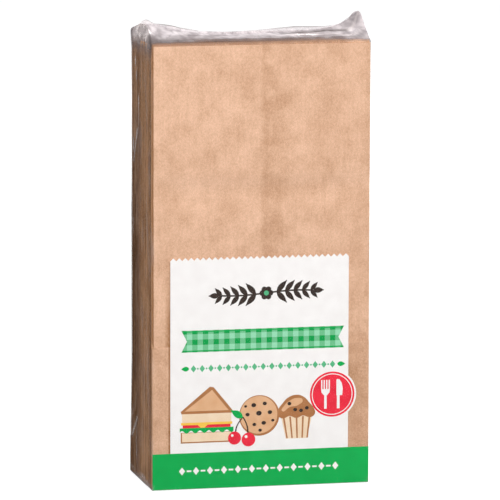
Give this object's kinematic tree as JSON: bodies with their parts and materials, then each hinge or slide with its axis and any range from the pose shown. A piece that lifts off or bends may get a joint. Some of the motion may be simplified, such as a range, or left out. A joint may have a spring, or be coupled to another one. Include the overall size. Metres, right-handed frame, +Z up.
{
  "type": "pack of paper lunch bags",
  "caption": "Clear film pack of flat-folded brown kraft paper lunch bags, with a printed paper sheet on its front; it stands on its end or lies on its back.",
  "frame": {"origin": "middle of the pack's bottom end, on the surface that the pack stands on", "axes": "+Z up, towards the bags' mouths; +Y from the printed front to the back; +X to the right, seen from the front"},
  "size_m": [0.1342, 0.0686, 0.283],
  "materials": {
    "kraft_paper": "unbleached brown kraft paper, matt, faint machine-direction fibre streaks",
    "printed_paper": "white coated paper, printed with a green band and a red badge, satin",
    "clear_film": "clear polypropylene film, glossy, lightly crinkled along its edges and seals"
  },
  "bodies": {
    "root": {"bag_01": "kraft_paper", "bag_02": "kraft_paper", "bag_03": "kraft_paper", "bag_04": "kraft_paper", "bag_05": "kraft_paper", "bag_06": "kraft_paper", "bag_07": "kraft_paper", "bag_08": "kraft_paper", "bag_09": "kraft_paper", "bag_10": "kraft_paper", "bag_11": "kraft_paper", "bag_12": "kraft_paper", "bag_13": "kraft_paper", "bag_14": "kraft_paper", "bag_15": "kraft_paper", "bag_16": "kraft_paper", "bag_17": "kraft_paper", "bag_18": "kraft_paper", "bag_19": "kraft_paper", "bag_20": "kraft_paper", "bag_21": "kraft_paper", "bag_22": "kraft_paper", "bag_23": "kraft_paper", "bag_24": "kraft_paper", "bag_25": "kraft_paper", "bag_26": "kraft_paper", "bag_27": "kraft_paper", "bag_28": "kraft_paper", "bag_29": "kraft_paper", "bag_30": "kraft_paper", "bag_31": "kraft_paper", "bag_32": "kraft_paper", "bag_33": "kraft_paper", "bag_34": "kraft_paper", "bag_35": "kraft_paper", "bag_36": "kraft_paper", "bag_37": "kraft_paper", "bag_38": "kraft_paper", "bag_39": "kraft_paper", "bag_40": "kraft_paper", "bag_41": "kraft_paper", "bag_42": "kraft_paper", "bag_43": "kraft_paper", "bag_44": "kraft_paper", "bag_45": "kraft_paper", "bag_46": "kraft_paper", "bag_47": "kraft_paper", "bag_48": "kraft_paper", "bag_49": "kraft_paper", "bag_50": "kraft_paper", "printed_sheet": "printed_paper", "film_wrap": "clear_film"}
  },
  "joints": []
}
